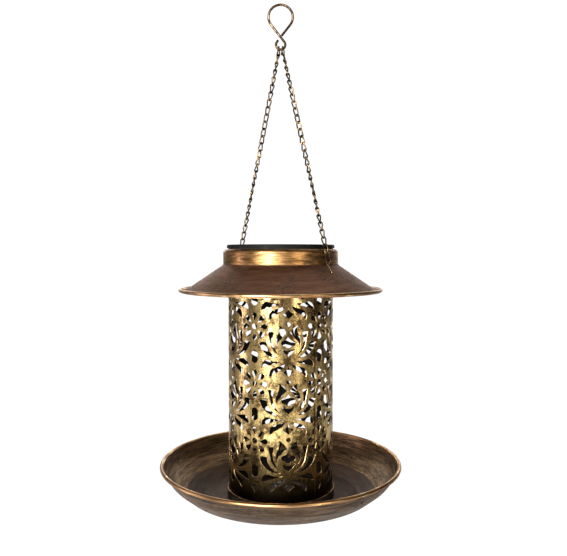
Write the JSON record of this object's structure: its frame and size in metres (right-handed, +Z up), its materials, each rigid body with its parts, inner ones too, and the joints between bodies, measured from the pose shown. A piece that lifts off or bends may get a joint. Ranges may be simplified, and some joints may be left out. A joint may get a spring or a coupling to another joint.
{
  "type": "hanging solar lantern bird feeder",
  "caption": "Hanging bird feeder: pierced bronze lantern tube under a conical roof with a solar lamp lid, on a round seed tray, hung by twisted chains from a wire hook.",
  "frame": {"origin": "hang point, inside the top of the hook's upper loop, on the lantern's axis", "axes": "+Z up along the lantern's axis, the hook's loop in the XZ plane, -Y towards the front"},
  "size_m": [0.24, 0.24, 0.4869],
  "materials": {
    "wire_bronze": "antique bronze plating, bright where it rubs",
    "roof_bronze": "antique bronze, brushed round, dark flecks",
    "tube_gold": "antique gold-bronze, lit cut edges",
    "tray_bronze": "antique bronze, brushed round, dark flecks",
    "lid_black": "black moulded plastic, slight gloss",
    "seal_rubber": "black rubber",
    "cell_blue": "dark blue cell under a clear coat",
    "window_clear": "clear acrylic",
    "board_green": "green solder mask",
    "part_black": "black component plastic",
    "led_clear": "clear epoxy, warm",
    "battery_wrap": "green printed sleeve without words",
    "contact_nickel": "nickel-plated spring steel",
    "screw_steel": "zinc-plated steel",
    "lead_red": "insulated wire"
  },
  "bodies": {
    "hook": {"hanging_hook": "wire_bronze"},
    "top_links": {"top_links": "wire_bronze"},
    "bail": {"left_chain": "wire_bronze", "right_chain": "wire_bronze", "left_s_hook": "wire_bronze", "right_s_hook": "wire_bronze"},
    "lantern": {"roof": "roof_bronze", "perforated_tube": "tube_gold", "base_cup": "tray_bronze", "feed_tray": "tray_bronze", "tray_screw": "screw_steel", "tray_washers": "screw_steel", "tray_nut": "screw_steel"},
    "lamp": {"lamp_housing": "lid_black", "lamp_seal": "seal_rubber", "solar_cell": "cell_blue", "solar_window": "window_clear", "lamp_cover": "lid_black", "cover_screws": "screw_steel", "circuit_board": "board_green", "board_parts": "part_black", "board_screws": "screw_steel", "led": "led_clear", "battery": "battery_wrap", "battery_spring": "contact_nickel", "battery_plate": "contact_nickel", "battery_door": "lid_black", "door_screw": "screw_steel", "switch_body": "part_black", "cell_leads": "lead_red"},
    "slider": {"switch_slider": "part_black"}
  },
  "joints": [
    {"name": "hook_swing", "type": "hinge", "parent": "hook", "child": "top_links", "pos_m": [0, 0, -0.0376], "axis": [0, 1, 0], "range_deg": [-20, 20]},
    {"name": "chain_swing", "type": "hinge", "parent": "top_links", "child": "bail", "pos_m": [0, 0, -0.04787], "axis": [0.7071, -0.7071, 0], "range_deg": [-18, 18]},
    {"name": "lantern_tilt", "type": "hinge", "parent": "bail", "child": "lantern", "pos_m": [0, 0, -0.2605], "axis": [0.7071, -0.7071, 0], "range_deg": [-12, 12]},
    {"name": "lamp_turn", "type": "hinge", "parent": "lantern", "child": "lamp", "pos_m": [0, 0, -0.2384], "axis": [0, 0, 1], "range_deg": [0, 25]},
    {"name": "switch_slide", "type": "slide", "parent": "lamp", "child": "slider", "axis": [1, 0, 0], "range_m": [0, 0.002]}
  ]
}
